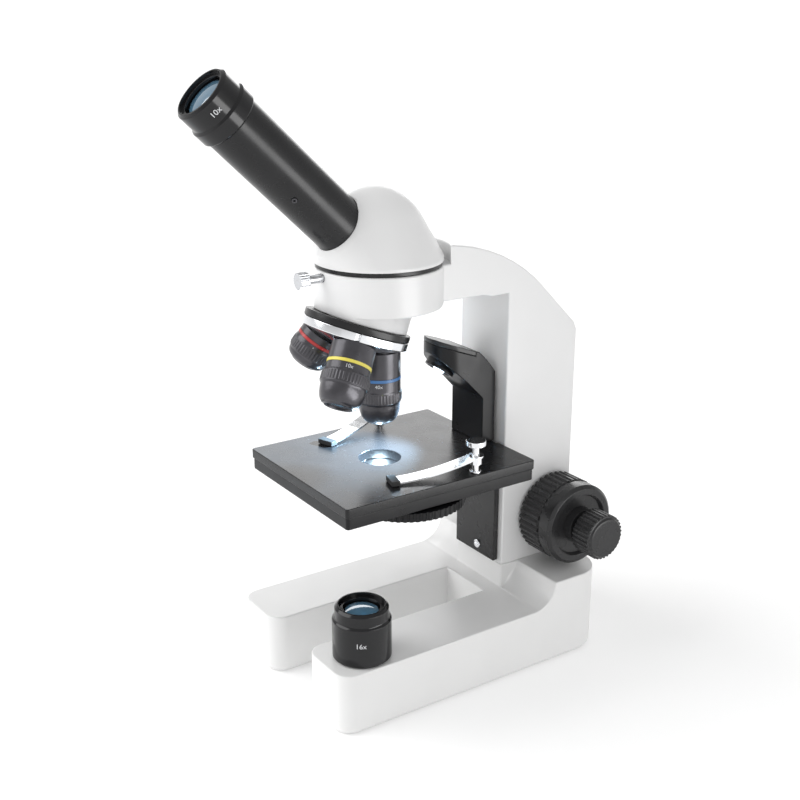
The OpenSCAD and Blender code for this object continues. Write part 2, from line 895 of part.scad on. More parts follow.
// Trapezoid teeth, with one gap centred on the height of the pinion axis
module rack_teeth() {
    half_root = tooth_w / 2 + tooth_drop * tan(pressure_angle);
    half_tip = tooth_w / 2 - tooth_rise * tan(pressure_angle);
    for (i = [-rack_teeth_below:rack_teeth_above - 1]) side_view(gear_w)
        translate([rack_y, knob_z + (i + 0.5) * tooth_pitch])
            polygon([[-tooth_drop - 0.1, -half_root], [-tooth_drop, -half_root], [tooth_rise, -half_tip],
                [tooth_rise, half_tip], [-tooth_drop, half_root], [-tooth_drop - 0.1, half_root]]);
}

module slide_rails() {
    color(silver) optic() both_sides() slab(48, 126)
        polygon([[6.2, cavity_y0 + 0.05], [cavity_w / 2 - 0.05, cavity_y0 + 0.05],
            [cavity_w / 2 - 0.05, dovetail_y1 + 2], [9.35, dovetail_y1 + 2],
            [9.25, dovetail_y1 + 0.1]]);
}

// Side view of the spring strip: flat around the pin, then bowing down to the slide
module clip_strip() {
    steps = 8;
    drop = function (t) clip_rise * (1 - t) ^ 2 + 0.9;
    path = [for (i = [0:steps]) [-clip_len * i / steps, drop(i / steps)]];
    top = [for (p = path) [p[0], p[1] + clip_t]];
    polygon(concat([[6, drop(0)]], path, [for (i = [steps:-1:0]) top[i]], [[6, drop(0) + clip_t]]));
}

module stage_clip(side, angle) {
    color(silver) optic() at_clip(side, angle) difference() {
        union() {
            intersection() {
                side_view(clip_w) clip_strip();
                slab(0, 20) {
                    translate([-clip_w / 2, -clip_len]) square([clip_w, clip_len]);
                    circle(clip_w / 2);
                }
            }
            pipe(3, 1.72, clip_rise + 0.6 - 3, clip_rise + 1.2);
        }
        rod(1.72, -1, 20);
    }
}

// Rubber sleeve over the end of a clip
module clip_tip(side, angle) {
    color(black) optic() at_clip(side, angle) difference() {
        translate([-clip_w / 2 - 0.6, -clip_len - 0.8, 0.25]) cube([clip_w + 1.2, 4, 2.3]);
        side_view(clip_w + 0.1) offset_strip();
    }
}

module offset_strip() {
    translate([-clip_len - 0.05, 0.82]) square([6, clip_t + 0.26]);
}

module stage_clip_right() { stage_clip(1, right_clip_angle); }
module stage_clip_left() { stage_clip(-1, left_clip_angle); }
module clip_tip_right() { clip_tip(1, right_clip_angle); }
module clip_tip_left() { clip_tip(-1, left_clip_angle); }

module clip_pins() {
    color(silver) optic() both_sides() translate([pin_x, pin_y, 0]) {
        rod(1.65, stage_top - 8, pin_top - 2);
        rod(2.6, stage_top + 0.02, stage_top + 1.2);
        rod(pin_head_r, pin_top - 2.4, pin_top);
    }
}

// Six places around the disc: three apertures and three colour glasses
module at_disc_place(i) {
    translate([disc_x, disc_y, 0])
        rotate([0, 0, atan2(-disc_y, -disc_x) + 60 * i])
            translate([disc_hole_ring, 0, 0]) children();
}

module filter_disc() {
    color(black) optic() difference() {
        translate([disc_x, disc_y, 0]) slab(disc_z0, disc_z1) ribbed_disc(disc_r, 60, 0.5);
        translate([disc_x, disc_y, 0]) rod(2.08, 90, 100);
        for (i = [0:5]) at_disc_place(i) rod([5.5, 5, 3.5, 5, 2, 5][i], 90, 100);
    }
}

module filter_glasses() {
    color("#4aa3d8") optic() for (i = [1, 3, 5]) at_disc_place(i)
        rod(4.95, disc_z0 + 0.8, disc_z0 + 2.4);
}

module disc_pivot() {
    color(silver) optic() translate([disc_x, disc_y, 0]) {
        rod(1.5, disc_z1 + 0.3, 103);
        rod(2, disc_z0 - 0.3, disc_z1 + 0.8);
        rod(4, disc_z0 - 1.6, disc_z0 - 0.29);
    }
}

module lower_lamp() {
    color(black) optic() difference() {
        union() {
            rod(lower_lamp_r, lower_lamp_z0, lower_lamp_z1);
            translate([-6, 0, lower_lamp_z0]) cube([12, plate_y0 - 0.05, 6]);
        }
        rod(8, lower_lamp_z0 + 2, 100);
    }
}

module lower_lamp_lens() {
    color(glass) optic() lens(7.9, lower_lamp_z1 - 3, 2.8);
}

// ---------- upper lamp ----------

// Height of the sloping top of the lid at the given Y
function lid_top(y) = lid_z - (y - lid_y) * tan(lid_slope);

// Plan of the lamp: a round nose that widens into the post
module lamp_plan() {
    translate([0, nose_y]) circle(nose_r);
    polygon([[-nose_r, nose_y], [nose_r, nose_y], [post_w / 2, post_y0 - 2], [post_w / 2, post_y1],
        [-post_w / 2, post_y1], [-post_w / 2, post_y0 - 2]]);
}

// Side view [Y, Z]: upright post, then an arm that leans forward over the stage
module lamp_side() {
    nose = nose_y - nose_r - 1;
    polygon([[post_y0, stage_top + 0.02], [post_y1, stage_top + 0.02], [post_y1, 144.5], [53.5, 151],
        [49, lid_top(49)], [lid_end, lid_top(lid_end)], [lid_end, lid_top(lid_end) - lid_t],
        [nose, lid_top(nose) - lid_t], [nose, 157], [31, 152], [36, 147], [42, 141.6], [post_y0, 132]]);
}

module upper_lamp_post() {
    color(black) optic() difference() {
        union() {
            intersection() {
                side_view(post_w) lamp_side();
                slab(stage_top, 170) lamp_plan();
            }
            at_lamp() rod(lamp_r, -lamp_depth - 1, -1);
        }
        at_lamp() rod(lamp_r - 1.4, -lamp_depth - 3, -4);
    }
}

// Lid that lies on the sloping top of the arm
module upper_lamp_cover() {
    nose = nose_y - nose_r - 1;
    color(dark) optic() intersection() {
        side_view(post_w) polygon([[nose, lid_top(nose) - lid_t + 0.03],
            [lid_end - 0.05, lid_top(lid_end) - lid_t + 0.03],
            [lid_end - 0.05, lid_top(lid_end)], [nose + 2, lid_top(nose + 2)],
            [nose, lid_top(nose) - 0.8]]);
        slab(stage_top, 170) lamp_plan();
    }
}

module upper_lamp_lens() {
    color("#e8f4ff") optic() at_lamp() {
        rod(lamp_r - 1.5, -lamp_depth, -lamp_depth + 1.5);
        translate([0, 0, -lamp_depth]) intersection() {
            sphere(3);
            rod(4, -4, 0.5);
        }
    }
}

// ---------- focus drive ----------

// Roll angle, in degrees, of the involute where it reaches radius r
function involute(r, base_r) =
    let (roll = sqrt(max(0, (r / base_r) ^ 2 - 1))) roll * 180 / PI - atan(roll);

// Half the angle of a tooth at radius r
function half_tooth(r, base_r) =
    tooth_w / 2 / pinion_pitch_r * 180 / PI + involute(pinion_pitch_r, base_r) - involute(r, base_r);

module pinion_profile() {
    base_r = pinion_pitch_r * cos(pressure_angle);
    root_r = pinion_pitch_r - tooth_drop;
    tip_r = pinion_pitch_r + tooth_rise;
    flank = concat([root_r], [for (k = [0:4]) base_r + (tip_r - base_r) * k / 4]);
    last = len(flank) - 1;
    polygon([for (i = [0:pinion_teeth - 1], k = [-last - 1:last])
        let (r = flank[k < 0 ? k + last + 1 : last - k], side = k < 0 ? -1 : 1,
            a = 360 / pinion_teeth * i + side * half_tooth(r, base_r))
            r * [cos(a), sin(a)]]);
}

module both_ends() {
    for (end = [0, 1]) mirror([0, 0, end]) children();
}

// Hollow shaft that carries the pinion and the coarse knobs
module coarse_shaft() {
    color(silver) optic() at_focus()
        pipe(coarse_shaft_r, fine_shaft_r + run_gap, -coarse_x1, coarse_x1);
}

// One tooth points at the rack
module focus_pinion() {
    color("#c9a24a") optic() at_focus() difference() {
        union() {
            slab(-gear_w / 2, gear_w / 2) rotate([0, 0, -90]) pinion_profile();
            rod(5.2, -gear_w / 2 - 3, gear_w / 2 + 3);
        }
        rod(coarse_shaft_r + press_gap, -20, 20);
    }
}

module focus_bushings() {
    wall_x = cavity_w / 2;
    color("#c9a24a") optic() at_focus() both_ends() difference() {
        union() {
            rod(bushing_r, wall_x, arm_w / 2 + 0.5);
            rod(bushing_r + 2, arm_w / 2 + 0.02, coarse_x0 - part_gap);
        }
        rod(coarse_shaft_r + run_gap, 0, coarse_x0);
    }
}

module coarse_knobs() {
    rib_end = coarse_x0 + 13.5;
    color(dark) optic() at_focus() both_ends() difference() {
        union() {
            slab(coarse_x0, rib_end) ribbed_disc(coarse_r, 40, 0.9);
            rotate_extrude() polygon([[0, rib_end - 1], [coarse_r - 1.4, rib_end - 1],
                [coarse_r - 0.4, rib_end + 1.5], [coarse_r - 0.4, coarse_x1 - 1.5],
                [coarse_r - 2, coarse_x1], [coarse_r - 5, coarse_x1], [coarse_r - 6, coarse_x1 - 2],
                [9.4, coarse_x1 - 2], [8.8, coarse_x1 + 2.4], [0, coarse_x1 + 2.4]]);
        }
        rod(coarse_shaft_r + press_gap, 0, coarse_x1 + 0.1);
        rod(fine_shaft_r + run_gap, 0, coarse_x1 + 5);
    }
}

// Thin shaft inside the hollow one
module fine_shaft() {
    color(silver) optic() at_focus() rod(fine_shaft_r, -fine_x1 + 4, fine_x1 - 4);
}

module fine_knobs() {
    color(dark) optic() at_focus() both_ends() difference() {
        union() {
            slab(fine_x0 + 1, fine_x1 - 1.5) ribbed_disc(fine_r, 32, 0.6);
            rotate_extrude() polygon([[0, fine_x0 - 2.5], [7, fine_x0 - 2.5], [7, fine_x0],
                [fine_r - 1.6, fine_x0], [fine_r - 0.8, fine_x0 + 1.2], [fine_r - 0.8, fine_x1 - 1.6],
                [fine_r - 1.8, fine_x1 - 0.2], [fine_r - 3, fine_x1], [0, fine_x1]]);
        }
        rod(fine_shaft_r + press_gap, 0, fine_x1 - 3.9);
    }
}

base_shell();
base_plate();
rubber_feet();
case_screws();
battery_door();
battery_tray();
battery_contacts();
circuit_board();
switch_bezel();
switch_rocker();
arm();
arm_back_cover();
arm_bolts();
focus_bushings();
head_lock_screw();
head_dovetail();
head_shell();
prism();
prism_mount();
eyepiece_tube();
tube_setscrew();
eyepiece_body();
eyepiece_lenses();
spare_eyepiece_body();
spare_eyepiece_lenses();
turret_base();
turret_rotor();
turret_pivot();
turret_detent();
objective_4x();
objective_10x();
objective_40x();
band_4x();
band_10x();
band_40x();
objective_lenses();
stage_plate();
stage_frame();
slide_plate();
limit_screw();
slide_carriage();
slide_rails();
stage_clip_right();
stage_clip_left();
clip_tip_right();
clip_tip_left();
clip_pins();
filter_disc();
filter_glasses();
disc_pivot();
lower_lamp();
lower_lamp_lens();
upper_lamp_post();
upper_lamp_cover();
upper_lamp_lens();
coarse_shaft();
coarse_knobs();
focus_pinion();
fine_shaft();
fine_knobs();
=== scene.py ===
"""Looks of the student microscope: rounded edges, fine detail, finishes, light and camera.

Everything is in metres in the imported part's own frame, and every place comes from that frame.
"""

import json
import math

import bmesh
import bpy
import numpy as np
from mathutils import Matrix, Vector
from mathutils.bvhtree import BVHTree


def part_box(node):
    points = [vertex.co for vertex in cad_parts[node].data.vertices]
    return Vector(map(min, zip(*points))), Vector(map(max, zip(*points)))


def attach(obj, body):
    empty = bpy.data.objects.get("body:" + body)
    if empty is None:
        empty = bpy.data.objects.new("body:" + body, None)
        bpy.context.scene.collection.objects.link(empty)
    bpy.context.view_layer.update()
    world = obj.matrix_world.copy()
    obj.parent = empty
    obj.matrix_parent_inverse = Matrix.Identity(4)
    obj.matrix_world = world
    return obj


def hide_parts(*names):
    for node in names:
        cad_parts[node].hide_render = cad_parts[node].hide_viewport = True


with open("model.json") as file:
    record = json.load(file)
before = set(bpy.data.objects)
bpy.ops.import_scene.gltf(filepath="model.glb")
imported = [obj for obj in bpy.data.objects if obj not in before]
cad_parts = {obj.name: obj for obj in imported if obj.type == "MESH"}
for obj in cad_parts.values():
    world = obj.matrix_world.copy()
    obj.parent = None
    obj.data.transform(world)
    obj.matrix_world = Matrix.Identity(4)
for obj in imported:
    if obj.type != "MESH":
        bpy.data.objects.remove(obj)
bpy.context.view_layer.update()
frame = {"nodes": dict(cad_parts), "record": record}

MM = 0.001
# Sockets of a Mix node that is set to RGBA
MIX_SHARE = 0
MIX_FIRST = 6
MIX_SECOND = 7
MIX_RESULT = 2
NODES = frame["nodes"]
BODY_OF = {node: body for body, members in frame["record"]["behaviour"]["bodies"].items() for node in members}
SLOT_OF = {name: obj.data.materials[0].name.split(".")[0] for name, obj in NODES.items()}


# ---------- places ----------

def middle(node):
    """Centre of a node's box."""
    low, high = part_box(node)
    return (low + high) / 2


def floor_axis():
    """Point on the floor under the optical axis: the head's flange is round about it."""
    centre = middle("head_dovetail")
    return Vector((centre.x, centre.y, 0))


def islands(node):
    """The vertices of each separate solid of a node, as arrays."""
    bm = bmesh.new()
    bm.from_mesh(NODES[node].data)
    bmesh.ops.remove_doubles(bm, verts=bm.verts, dist=1e-6)
    found = []
    left = set(bm.verts)
    while left:
        stack = [left.pop()]
        group = []
        while stack:
            vert = stack.pop()
            group.append(tuple(vert.co))
            for edge in vert.link_edges:
                other = edge.other_vert(vert)
                if other in left:
                    left.remove(other)
                    stack.append(other)
        found.append(np.array(group))
    bm.free()
    return sorted(found, key=lambda points: tuple(np.round(points.mean(0), 5)))


def turning_frame(points, towards):
    """Frame of a round solid: Z along its axis, on the side of `towards`, origin in its middle."""
    centre = points.mean(0)
    for _ in range(2):
        spread = np.cov((points - centre).T)
        values, vectors = np.linalg.eigh(spread)
        gaps = [abs(values[(k + 1) % 3] - values[(k + 2) % 3]) for k in range(3)]
        axis = vectors[:, int(np.argmin(gaps))]
        along = (points - centre) @ axis
        centre = centre + axis * (along.max() + along.min()) / 2
    axis = Vector(axis)
    if axis.dot(Vector(towards)) < 0:
        axis.negate()
    turn = axis.to_track_quat("Z", "Y").to_matrix().to_4x4()
    return Matrix.Translation(Vector(centre)) @ turn


# ---------- materials ----------

def link(tree, a, output, b, socket):
    """Joins node a's output to node b's socket, both by name."""
    tree.links.new(a.outputs[output], b.inputs[socket])


def noise(tree, coords, scale, detail=3.0, stretch=(1, 1, 1)):
    """Noise texture over the part's own coordinates; scale is in cells per metre."""
    mapping = tree.nodes.new("ShaderNodeMapping")
    mapping.inputs["Scale"].default_value = stretch
    texture = tree.nodes.new("ShaderNodeTexNoise")
    texture.inputs["Scale"].default_value = scale
    texture.inputs["Detail"].default_value = detail
    link(tree, coords, "Object", mapping, "Vector")
    link(tree, mapping, "Vector", texture, "Vector")
    return texture


def span(tree, source, low, high, start=0.3, end=0.7):
    """The source's values from start to end, spread over low to high."""
    ramp = tree.nodes.new("ShaderNodeMapRange")
    ramp.inputs["From Min"].default_value = start
    ramp.inputs["From Max"].default_value = end
    ramp.inputs["To Min"].default_value = low
    ramp.inputs["To Max"].default_value = high
    tree.links.new(source, ramp.inputs["Value"])
    return ramp.outputs["Result"]


def material(name, color, tone=0.03, tone_scale=35, rough=(0.3, 0.38), rough_scale=90,
             grain=900, grain_depth=0.02, metallic=0.0, coat=0.0, coat_rough=0.08,
             level=0.5, stretch=(1, 1, 1), specks=0.0):
    """A finish with uneven tone, uneven gloss, a fine grain and, where specks is set, pale dust.

    grain_depth is in millimetres.
    """
    made = bpy.data.materials.new(name)
    made.use_nodes = True
    tree = made.node_tree
    shader = tree.nodes["Principled BSDF"]
    coords = tree.nodes.new("ShaderNodeTexCoord")
    shader.inputs["Metallic"].default_value = metallic
    shader.inputs["Specular IOR Level"].default_value = level
    shader.inputs["Coat Weight"].default_value = coat
    shader.inputs["Coat Roughness"].default_value = coat_rough

    mix = tree.nodes.new("ShaderNodeMix")
    mix.data_type = "RGBA"
    mix.inputs[MIX_FIRST].default_value = [c * (1 - tone) for c in color] + [1]
    mix.inputs[MIX_SECOND].default_value = [min(1, c * (1 + tone)) for c in color] + [1]
    tones = noise(tree, coords, tone_scale)
    tree.links.new(span(tree, tones.outputs["Fac"], 0, 1), mix.inputs[MIX_SHARE])
    base = mix.outputs[MIX_RESULT]
    if specks:
        dots = noise(tree, coords, 2600, 1)
        dust = tree.nodes.new("ShaderNodeMix")
        dust.data_type = "RGBA"
        dust.inputs[MIX_SECOND].default_value = (0.5, 0.5, 0.5, 1)
        share = span(tree, dots.outputs["Fac"], 0, specks, 0.66, 0.8)
        tree.links.new(share, dust.inputs[MIX_SHARE])
        tree.links.new(base, dust.inputs[MIX_FIRST])
        base = dust.outputs[MIX_RESULT]
    tree.links.new(base, shader.inputs["Base Color"])

    gloss = noise(tree, coords, rough_scale, 4, stretch)
    tree.links.new(span(tree, gloss.outputs["Fac"], *rough), shader.inputs["Roughness"])

    relief = noise(tree, coords, grain, 2, stretch)
    bump = tree.nodes.new("ShaderNodeBump")
    bump.inputs["Strength"].default_value = 1.0
    bump.inputs["Distance"].default_value = grain_depth * MM
    link(tree, relief, "Fac", bump, "Height")
    link(tree, bump, "Normal", shader, "Normal")
    return made


def coated_glass(name, color, coat=1.0):
    """Lens with a coloured anti-reflection coating."""
    made = material(name, color, tone=0.25, tone_scale=60, rough=(0.04, 0.07), grain=300,
                    grain_depth=0.002, coat=coat, coat_rough=0.02, level=0.9)
    shader = made.node_tree.nodes["Principled BSDF"]
    shader.inputs["IOR"].default_value = 1.6
    return made


def lit(made, color, strength):
    """Adds an even glow to a finish."""
    shader = made.node_tree.nodes["Principled BSDF"]
    shader.inputs["Emission Color"].default_value = (*color, 1)
    shader.inputs["Emission Strength"].default_value = strength
    return made


FINISH = {
    "white_paint": material("white enamel", (0.86, 0.86, 0.86), tone=0.012, rough=(0.32, 0.38),
                            grain=700, grain_depth=0.002, coat=0.12, coat_rough=0.2, level=0.4),
    "white_plastic": material("white moulding", (0.86, 0.86, 0.855), tone=0.015, rough=(0.34, 0.42),
                              grain=1800, grain_depth=0.004, coat=0.15, coat_rough=0.2),
    "black_paint": material("black satin paint", (0.010, 0.010, 0.011), tone=0.25, rough=(0.24, 0.30),
                            grain=1500, grain_depth=0.003, level=0.36),
    "black_plastic": material("black moulding", (0.008, 0.008, 0.009), tone=0.2, rough=(0.26, 0.34),
                              grain=1300, grain_depth=0.004, level=0.26),
    "gloss_black": material("polished black moulding", (0.008, 0.008, 0.009), tone=0.2,
                            rough=(0.12, 0.18), grain=1100, grain_depth=0.002, level=0.34, coat=0.1),
    "grey_plastic": material("charcoal moulding", (0.026, 0.026, 0.027), tone=0.15, rough=(0.24, 0.32),
                             grain=1300, grain_depth=0.012, level=0.34, specks=0.012),
    "rubber": material("rubber", (0.02, 0.02, 0.021), tone=0.2, rough=(0.65, 0.8), grain=1600,
                       grain_depth=0.03, specks=0.04),
    "chrome": material("bright chrome", (0.82, 0.83, 0.85), tone=0.03, rough=(0.10, 0.18),
                       rough_scale=240, grain=700, grain_depth=0.003, metallic=1.0),
    "steel": material("turned steel", (0.62, 0.63, 0.65), tone=0.05, rough=(0.24, 0.36),
                      rough_scale=600, grain=2400, grain_depth=0.006, metallic=1.0),
    "brass": material("brass", (0.72, 0.52, 0.24), tone=0.08, rough=(0.24, 0.36), rough_scale=500,
                      grain=2200, grain_depth=0.006, metallic=1.0),
    "gunmetal": material("dark anodised metal", (0.060, 0.058, 0.066), tone=0.2, tone_scale=110,
                         rough=(0.26, 0.36), grain=1800, grain_depth=0.008, metallic=0.55, coat=0.3,
                         coat_rough=0.2),
    "board_green": material("circuit board", (0.03, 0.16, 0.07), tone=0.15, rough=(0.3, 0.45),
                            grain=1500, grain_depth=0.02, coat=0.3),
    "band_red": material("red ring", (0.45, 0.03, 0.03), tone=0.06, rough=(0.3, 0.4)),
    "band_yellow": material("yellow ring", (0.86, 0.74, 0.12), tone=0.05, rough=(0.3, 0.4)),
    "band_blue": material("blue ring", (0.06, 0.20, 0.48), tone=0.06, rough=(0.3, 0.4)),
    "lens_glass": coated_glass("coated glass", (0.08, 0.18, 0.27)),
    "filter_glass": coated_glass("blue filter glass", (0.05, 0.25, 0.55)),
    "lamp_glow": lit(coated_glass("lit lower lens", (0.7, 0.85, 1.0)), (0.62, 0.82, 1.0), 6.0),
    "lamp_white": lit(coated_glass("lit lamp dome", (0.8, 0.9, 1.0)), (0.72, 0.87, 1.0), 4.0),
}
# Nodes whose finish differs from the others of their slot
OWN_FINISH = {
    "lower_lamp_lens": "lamp_glow", "eyepiece_body": "gloss_black", "spare_eyepiece_body": "gloss_black",
}
FLOOR = lit(material("pale floor", (0.93, 0.93, 0.93), tone=0.006, tone_scale=6, rough=(0.75, 0.85),
                     grain=300, grain_depth=0.02), (1, 1, 1), 0.27)
PRINT = material("white print", (0.75, 0.76, 0.78), tone=0.03, rough=(0.4, 0.5), grain_depth=0.004)


# ---------- pieces ----------

def finish_of(node):
    """The finish of a node: its own where it has one, else that of its slot."""
    return FINISH[OWN_FINISH.get(node, SLOT_OF[node])]


def settle(piece, node):
    """Puts a piece on the body and finish of the CAD node that it belongs to."""
    piece.data.materials.clear()
    piece.data.materials.append(finish_of(node))
    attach(piece, BODY_OF[node])
    return piece


def from_bmesh(bm, name):
    """A smooth-shaded object whose flat faces stay flat up to their rounded edges."""
    mesh = bpy.data.meshes.new(name)
    bm.to_mesh(mesh)
    bm.free()
    mesh.polygons.foreach_set("use_smooth", [True] * len(mesh.polygons))
    mesh.set_sharp_from_angle(angle=math.radians(40))
    piece = bpy.data.objects.new(name, mesh)
    bpy.context.scene.collection.objects.link(piece)
    weighted = piece.modifiers.new("flat faces", "WEIGHTED_NORMAL")
    weighted.keep_sharp = True
    weighted.weight = 100
    return piece


def merged(mesh, kept_planes=()):
    """The mesh with its coplanar triangles merged into large faces, except those in kept_planes."""
    bm = bmesh.new()
    bm.from_mesh(mesh)
    bmesh.ops.remove_doubles(bm, verts=bm.verts, dist=1e-6)

    def kept(edge):
        return any(all(face.normal.dot(normal) > 0.9999 for face in edge.link_faces)
                   and abs(edge.verts[0].co.dot(normal) - height) < 1e-6 for normal, height in kept_planes)

    edges = [edge for edge in bm.edges if not kept(edge)]
    bmesh.ops.dissolve_limit(bm, angle_limit=math.radians(0.5), verts=bm.verts, edges=edges)
    return bm


def round_edges(bm, width, segments, sharp):
    """Rounds every outward edge that is sharper than `sharp` degrees. width is in millimetres."""
    edges = [edge for edge in bm.edges
             if len(edge.link_faces) == 2 and edge.is_convex
             and edge.calc_face_angle() > math.radians(sharp)]
    bmesh.ops.bevel(bm, geom=edges, offset=width * MM, offset_type="OFFSET", segments=segments,
                    profile=0.5, affect="EDGES", clamp_overlap=False)


def overfilled_planes(bm):
    """Planes of the faces whose triangles cover more than their outline, as across a hole."""
    filled = {}
    for corners in bm.calc_loop_triangles():
        a, b, c = (loop.vert.co for loop in corners)
        face = corners[0].face
        filled[face] = filled.get(face, 0) + (b - a).cross(c - a).length / 2
    return [(face.normal.copy(), face.normal.dot(face.verts[0].co))
            for face, area in filled.items() if area > 1.02 * face.calc_area() and area > 1e-6]


def soften(node, width, segments=2, sharp=35):
    """Replaces a node by its own shape with every outward edge rounded. width is in millimetres."""
    mesh = NODES[node].data
    bm = merged(mesh)
    round_edges(bm, width, segments, sharp)
    planes = overfilled_planes(bm)
    if planes:
        bm.free()
        bm = merged(mesh, planes)
        round_edges(bm, width, segments, sharp)
    piece = from_bmesh(bm, node + "_rounded")
    settle(piece, node)
    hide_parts(node)
    return piece


def band_of(points, turn):
    """Radius of the widest part of a round solid, and its lowest and highest place along the axis."""
    local = np.array([turn.inverted() @ Vector(point) for point in points])
    radii = np.hypot(local[:, 0], local[:, 1])
    wide = local[radii > radii.max() - 0.05 * MM, 2]
    return radii.max(), wide.min(), wide.max()


def knurl(name, node, points, towards, ribs, depth, margin):
    """Ring of fine ribs around the widest part of a round solid. depth and margin are in millimetres."""
    turn = turning_frame(points, towards)
    radius, low, high = band_of(points, turn)
    low += margin * MM
    high -= margin * MM
    chamfer = 1.3 * depth * MM
    valley = radius - 0.05 * MM
    inner = radius - 0.5 * MM
    rings = [(low, 0), (low + chamfer, 1), (high - chamfer, 1), (high, 0)]
    bm = bmesh.new()
    steps = 6
    count = ribs * steps

    def ring_vert(r, k, z):
        angle = 2 * math.pi * k / count
        return bm.verts.new((r * math.cos(angle), r * math.sin(angle), z))

    outer = []
    for z, share in rings:
        loop = []
        for k in range(count):
            wave = 0.5 - 0.5 * math.cos(2 * math.pi * (k % steps) / steps)
            r = valley + share * depth * MM * wave
            loop.append(ring_vert(r, k, z))
        outer.append(loop)
    inside = [[ring_vert(inner, k, z) for k in range(count)] for z in (low, high)]
    loops = [inside[0], *outer, inside[1]]
    for a, b in zip(loops, loops[1:] + loops[:1]):
        for k in range(count):
            n = (k + 1) % count
            bm.faces.new((a[k], a[n], b[n], b[k]))
    bmesh.ops.recalc_face_normals(bm, faces=bm.faces)
    bm.transform(turn)
    piece = from_bmesh(bm, name)
    return settle(piece, node)


def wall_radius(node, turn, z, angle):
    """Distance from a round solid's axis to its outer wall at height z and the given angle."""
    outward = Vector((math.cos(angle), math.sin(angle), 0))
    reach = 50 * MM
    start = turn @ (outward * reach + Vector((0, 0, z)))
    bm = bmesh.new()
    bm.from_mesh(NODES[node].data)
    distance = BVHTree.FromBMesh(bm).ray_cast(start, turn.to_3x3() @ -outward)[3]
    bm.free()
    return reach - distance


def marking(name, node, text, turn, z, height, facing):
    """Small raised printing on the wall of a round solid. z and height are in millimetres."""
    curve = bpy.data.curves.new(name + "_curve", "FONT")
    curve.body = text
    curve.size = height * MM
    curve.align_x = "CENTER"
    curve.extrude = 0.03 * MM
    curve.resolution_u = 3
    source = bpy.data.objects.new(name + "_source", curve)
    bpy.context.scene.collection.objects.link(source)
    bpy.context.view_layer.update()
    mesh = bpy.data.meshes.new_from_object(source.evaluated_get(bpy.context.evaluated_depsgraph_get()))
    bpy.data.objects.remove(source)
    local = turn.inverted().to_3x3() @ Vector(facing)
    start = math.atan2(local.y, local.x)
    radius = wall_radius(node, turn, (z + height / 2) * MM, start)
    for vert in mesh.vertices:
        x, y, out = vert.co
        angle = start + x / radius
        r = radius + out
        vert.co = turn @ Vector((r * math.cos(angle), r * math.sin(angle), z * MM + y))
    mesh.name = name
    piece = bpy.data.objects.new(name, mesh)
    bpy.context.scene.collection.objects.link(piece)
    piece.data.materials.clear()
    piece.data.materials.append(PRINT)
    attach(piece, BODY_OF[node])
    return piece


# Width of the rounded edges of each shown node, in millimetres
ROUNDING = {
    "base_shell": 0.8, "arm": 0.8, "arm_back_cover": 0.35, "head_shell": 0.4, "head_dovetail": 0.25,
    "head_lock_screw": 0.08, "switch_bezel": 0.25, "switch_rocker": 0.3, "base_plate": 0.2,
    "battery_door": 0.2, "rubber_feet": 0.2, "eyepiece_tube": 0.2, "eyepiece_body": 0.15,
    "spare_eyepiece_body": 0.15, "turret_base": 0.35, "turret_rotor": 0.3, "turret_detent": 0.1,
    "objective_4x": 0.15, "objective_10x": 0.15, "objective_40x": 0.15, "stage_plate": 0.4,
    "stage_frame": 0.35, "slide_plate": 0.25, "limit_screw": 0.15, "clip_pins": 0.2,
    "clip_tip_right": 0.2, "clip_tip_left": 0.2, "lower_lamp": 0.3, "upper_lamp_post": 0.4,
    "upper_lamp_cover": 0.3, "coarse_knobs": 0.18, "fine_knobs": 0.15,
}
for node, obj in NODES.items():
    if node in ROUNDING:
        soften(node, ROUNDING[node])
    else:
        obj.data.materials[0] = finish_of(node)

# What is printed on each eyepiece, and how far below its top, in millimetres
EYEPIECE_PRINT = {"eyepiece_body": ("10x", 6.6), "spare_eyepiece_body": ("16x", 15.5)}
TOWARDS_USER = (0.78, -0.52, 0.1)
for power in ("4x", "10x", "40x"):
    node = "objective_" + power
    points = islands(node)[0]
    down = Vector(points.mean(0)) - middle("turret_rotor")
    turn = turning_frame(points, -down)
    knurl(node + "_grip", node, points, down, ribs=44, depth=0.28, margin=0.35)
    ring = islands("band_" + power)[0]
    ring_z = (turn.inverted() @ Vector(ring.mean(0))).z / MM
    marking(node + "_marking", node, power, turn, ring_z - 3.2, 2.4, TOWARDS_USER)
for node, (text, below_top) in EYEPIECE_PRINT.items():
    points = islands(node)[0]
    turn = turning_frame(points, (0, -1, 1))
    top = max((turn.inverted() @ Vector(point)).z for point in points) / MM
    marking(node + "_marking", node, text, turn, top - below_top, 3.4, TOWARDS_USER)


# ---------- floor, light and camera ----------

def floor():
    """Pale floor that reaches far past the object."""
    bm = bmesh.new()
    bmesh.ops.create_grid(bm, x_segments=8, y_segments=8, size=40)
    mesh = bpy.data.meshes.new("floor")
    bm.to_mesh(mesh)
    bm.free()
    mesh.materials.append(FLOOR)
    piece = bpy.data.objects.new("floor", mesh)
    bpy.context.scene.collection.objects.link(piece)


def softbox(name, place, target, lengthwise, width, height, power):
    """Soft panel that only reflections show: at place, facing target, its height along lengthwise."""
    light = bpy.data.lights.new(name, "AREA")
    light.shape = "RECTANGLE"
    light.size = width
    light.size_y = height
    light.energy = power
    obj = bpy.data.objects.new(name, light)
    back = (Vector(place) - Vector(target)).normalized()
    side = Vector(lengthwise).cross(back).normalized()
    turn = Matrix((side, back.cross(side), back)).transposed().to_4x4()
    obj.matrix_world = Matrix.Translation(place) @ turn
    obj.visible_camera = False
    obj.visible_diffuse = False
    bpy.context.scene.collection.objects.link(obj)


